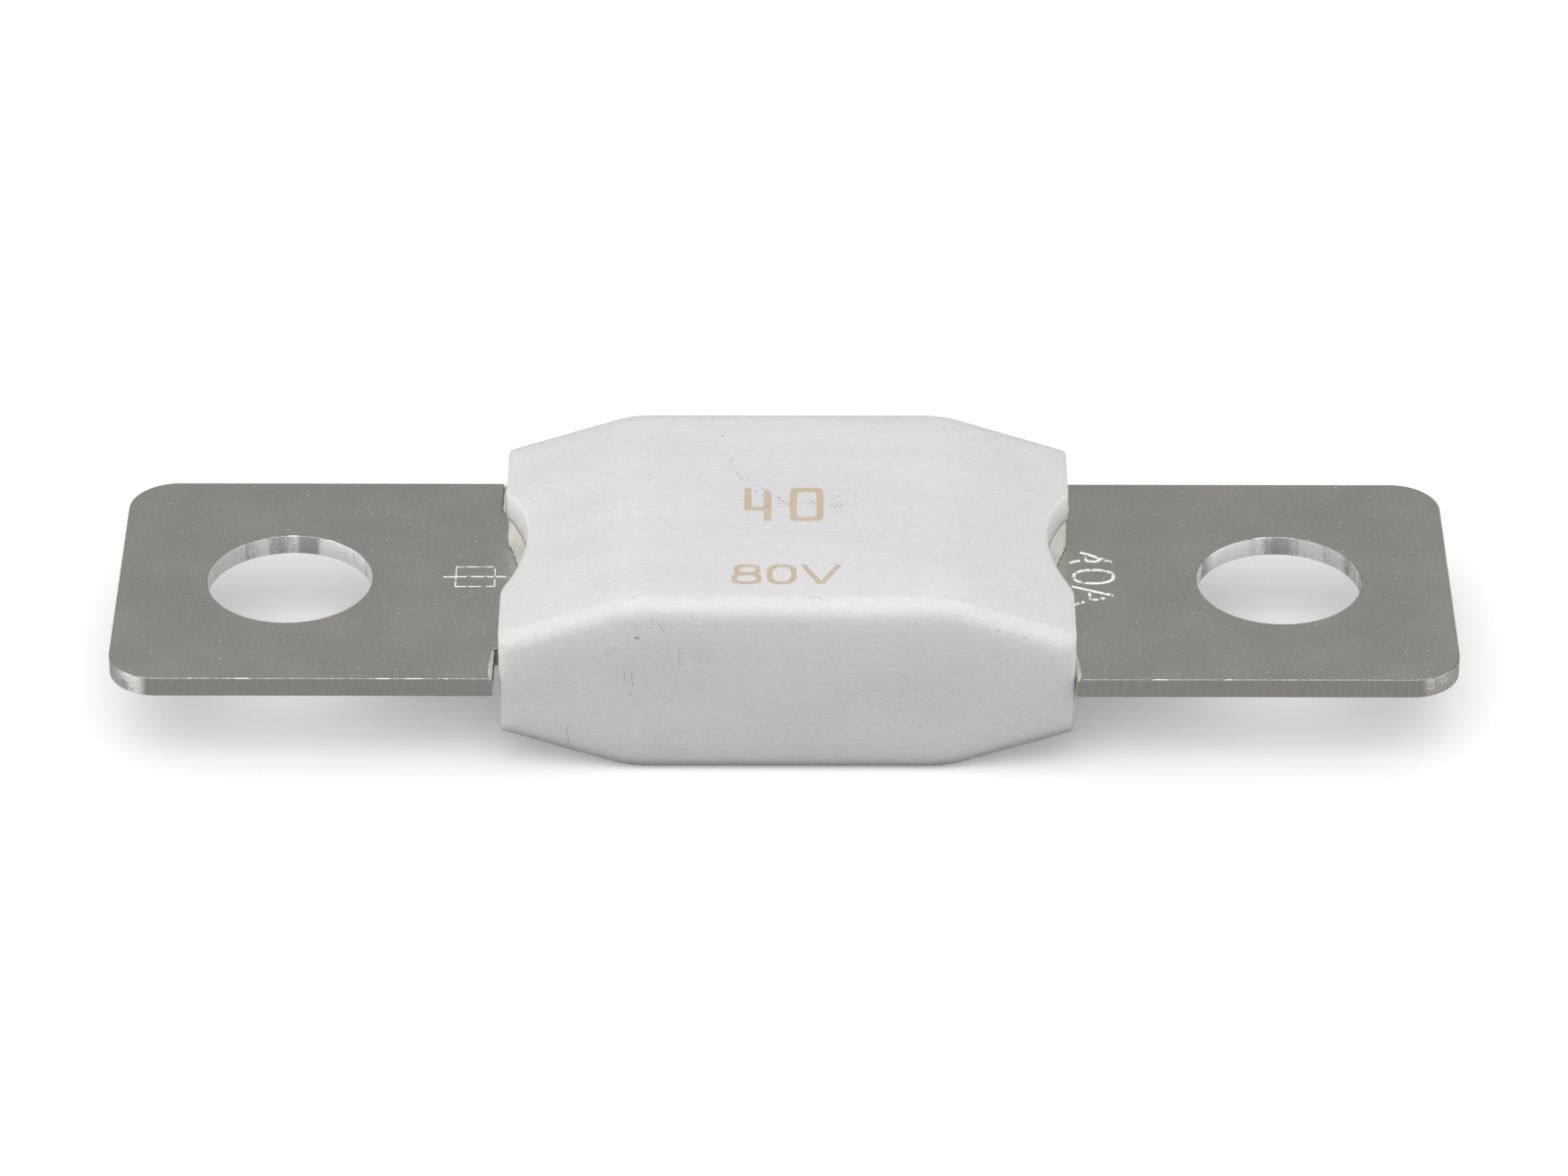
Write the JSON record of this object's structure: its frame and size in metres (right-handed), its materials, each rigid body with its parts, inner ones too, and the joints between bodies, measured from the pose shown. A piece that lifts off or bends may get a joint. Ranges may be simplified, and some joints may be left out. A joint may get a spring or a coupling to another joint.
{
  "type": "bolt down strip fuse",
  "caption": "Flat tin-plated strip with a bolt hole at each end and a white barrel-shaped ceramic sleeve round its fuse element, made to bolt across two studs.",
  "frame": {"origin": "midway between the two bolt holes, halfway through the thickness of the sheet, which is also the centre of the whole part's box", "axes": "+X along the strip from the left blade to the right one, +Y across the strip, +Z out of the sleeve's top flat"},
  "size_m": [0.0686, 0.0194, 0.01],
  "materials": {
    "white_ceramic": "unglazed, smooth",
    "plated_sheet": "satin tin plating",
    "element_strip": "rolled strip",
    "tin": "flowed tin",
    "cement": "matte"
  },
  "bodies": {
    "root": {"ceramic_sleeve": "white_ceramic", "left_terminal": "plated_sheet", "right_terminal": "plated_sheet", "fuse_element": "element_strip", "tin_bead": "tin", "left_seal": "cement", "right_seal": "cement"}
  },
  "joints": []
}
